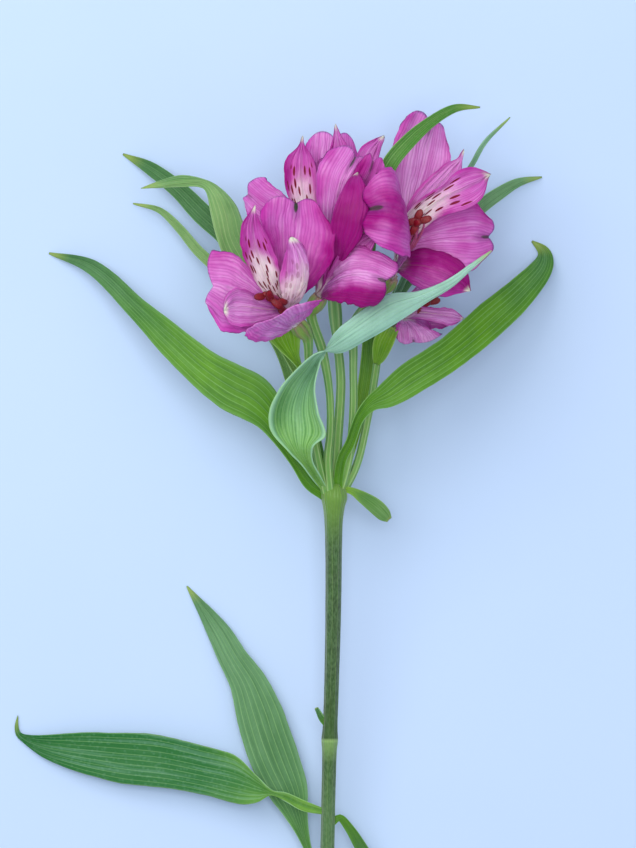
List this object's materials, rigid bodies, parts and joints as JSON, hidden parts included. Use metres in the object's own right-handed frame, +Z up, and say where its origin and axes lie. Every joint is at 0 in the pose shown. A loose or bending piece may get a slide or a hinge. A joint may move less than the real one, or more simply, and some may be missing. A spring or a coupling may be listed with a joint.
{
  "type": "alstroemeria stem",
  "caption": "Cut alstroemeria stem lying down, with strap leaves and an umbel of open mauve-pink flowers at its head.",
  "frame": {"origin": "on the table, under the middle of the lying stem's bounding box", "axes": "+Y from the cut end towards the flowers, +X to the right as the flowers are seen from above, +Z up from the table"},
  "size_m": [0.2083, 0.3583, 0.0972],
  "materials": {
    "stem_skin": "satin",
    "green_leaf": "satin",
    "blue_green_leaf": "satin",
    "young_leaf": "satin",
    "ovary_skin": "satin",
    "outer_tepal": "satin",
    "inner_tepal": "satin",
    "stamens": "matte"
  },
  "bodies": {
    "root": {"main_stem": "stem_skin", "front_flower_pedicel_ovary": "ovary_skin", "upper_flower_pedicel_ovary": "ovary_skin", "middle_flower_pedicel_ovary": "ovary_skin", "right_flower_pedicel_ovary": "ovary_skin", "low_flower_pedicel_ovary": "ovary_skin", "front_flower_stamens": "stamens", "upper_flower_stamens": "stamens", "middle_flower_stamens": "stamens", "right_flower_stamens": "stamens", "low_flower_stamens": "stamens", "front_flower_tepal_outer_top": "outer_tepal", "front_flower_tepal_outer_left": "outer_tepal", "front_flower_tepal_outer_low": "outer_tepal", "front_flower_tepal_inner_left": "inner_tepal", "front_flower_tepal_inner_top": "inner_tepal", "front_flower_tepal_inner_low": "inner_tepal", "upper_flower_tepal_outer_left": "outer_tepal", "upper_flower_tepal_outer_back": "outer_tepal", "upper_flower_tepal_outer_front": "outer_tepal", "upper_flower_tepal_inner_left": "inner_tepal", "upper_flower_tepal_inner_back": "inner_tepal", "upper_flower_tepal_inner_right": "inner_tepal", "middle_flower_tepal_outer_low": "outer_tepal", "middle_flower_tepal_outer_top": "outer_tepal", "middle_flower_tepal_outer_left": "outer_tepal", "middle_flower_tepal_inner_top": "inner_tepal", "middle_flower_tepal_inner_left": "inner_tepal", "middle_flower_tepal_inner_right": "inner_tepal", "right_flower_tepal_outer_left": "outer_tepal", "right_flower_tepal_outer_top": "outer_tepal", "right_flower_tepal_outer_right": "outer_tepal", "right_flower_tepal_inner_top": "inner_tepal", "right_flower_tepal_inner_right": "inner_tepal", "right_flower_tepal_inner_low": "inner_tepal", "low_flower_tepal_outer_low": "outer_tepal", "low_flower_tepal_outer_back": "outer_tepal", "low_flower_tepal_outer_top": "outer_tepal", "low_flower_tepal_inner_front": "inner_tepal", "low_flower_tepal_inner_top": "inner_tepal", "low_flower_tepal_inner_low": "inner_tepal", "leaf_whorl_cupped_front": "blue_green_leaf", "leaf_upper_left_folded": "young_leaf", "leaf_lower_broad_left": "blue_green_leaf", "bracteole_left": "young_leaf", "leaf_whorl_long_left": "green_leaf", "leaf_whorl_long_right": "green_leaf", "leaf_whorl_small_right": "young_leaf", "leaf_upper_right_arching": "young_leaf", "leaf_upper_right_narrow": "blue_green_leaf", "leaf_upper_right_low": "green_leaf", "leaf_upper_left_low": "green_leaf", "leaf_upper_left_thin": "blue_green_leaf", "leaf_lower_upright": "green_leaf", "leaf_lower_right": "green_leaf", "bracteole_right": "young_leaf"}
  },
  "joints": []
}
